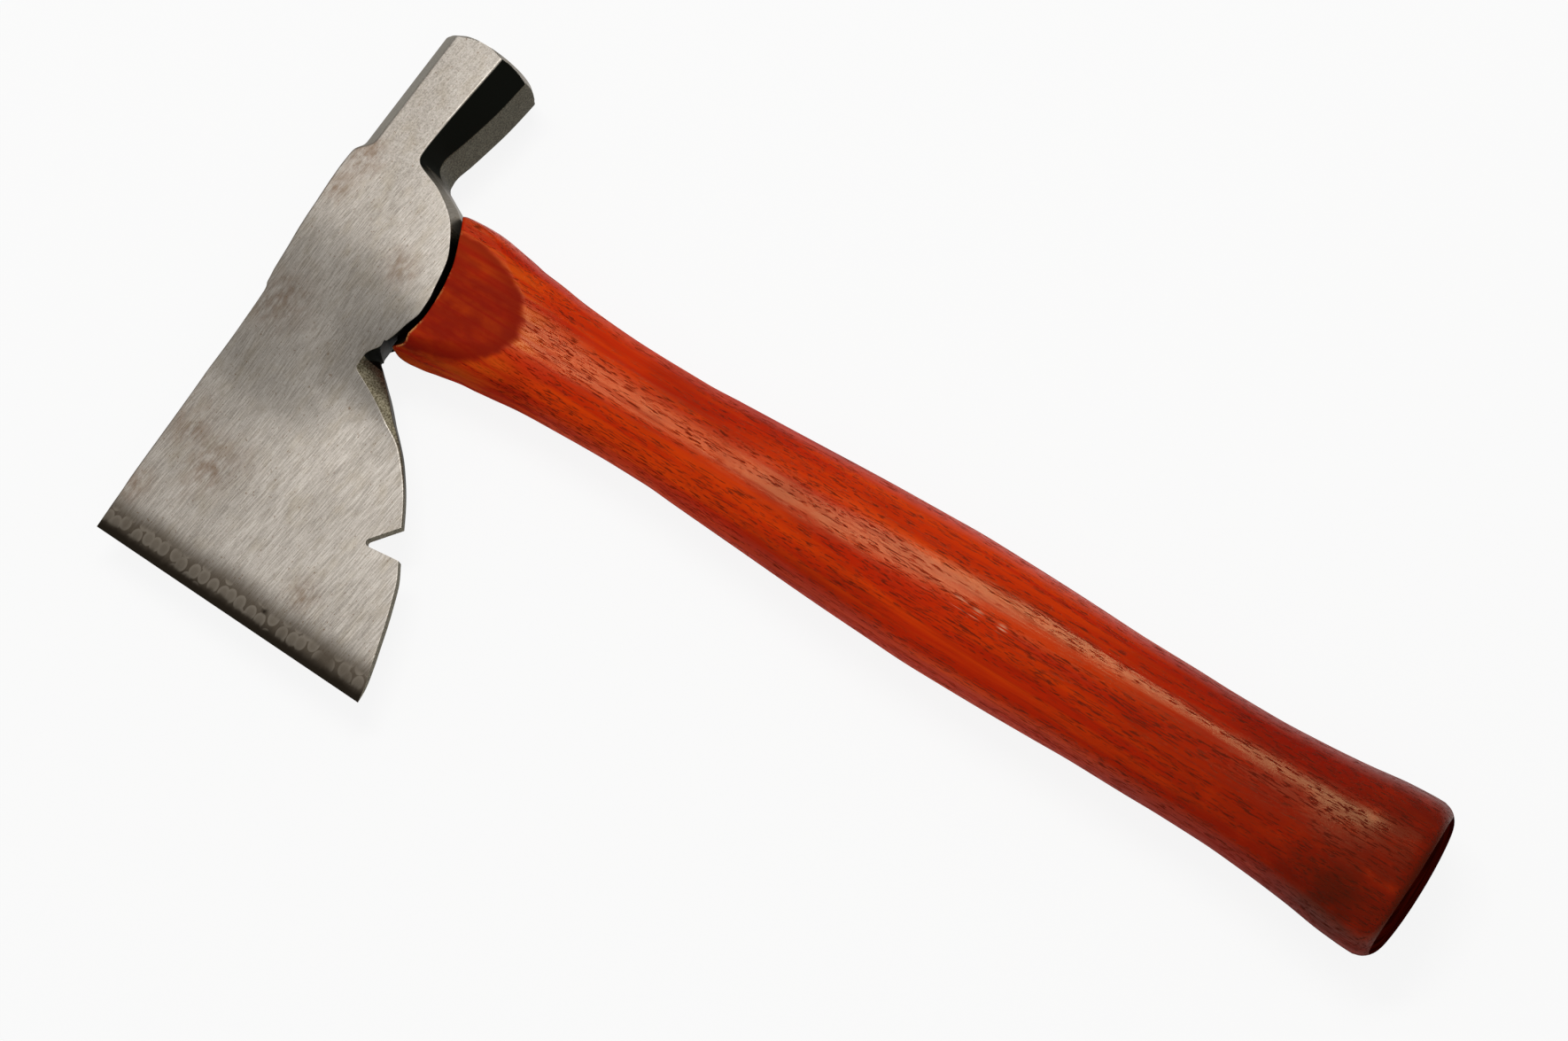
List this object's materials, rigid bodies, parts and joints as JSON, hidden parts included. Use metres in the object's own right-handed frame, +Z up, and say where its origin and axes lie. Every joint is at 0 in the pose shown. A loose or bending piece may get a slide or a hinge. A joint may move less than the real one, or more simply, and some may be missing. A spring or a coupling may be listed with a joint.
{
  "type": "half hatchet",
  "caption": "Carpenter's half hatchet: forged head with a broad straight edge, a nail notch and an octagonal hammer poll, wedged on a swelled wooden handle.",
  "frame": {"origin": "middle of the bounding box's lower face, on the ground that the hatchet lies on", "axes": "+X from the head's top along the handle to the butt, +Y across the handle from the cutting edge to the striking face, +Z up from the side it lies on"},
  "size_m": [0.3362, 0.163, 0.03],
  "materials": {
    "forged_steel": "belt-ground cheeks, dark forged flanks",
    "stained_hickory": "red-brown stain under gloss lacquer",
    "bare_hardwood": "sawn, unfinished",
    "wedge_steel": "as rolled"
  },
  "bodies": {
    "root": {"head": "forged_steel", "handle": "stained_hickory", "wooden_wedge": "bare_hardwood", "steel_wedge_front": "wedge_steel", "steel_wedge_rear": "wedge_steel"}
  },
  "joints": []
}
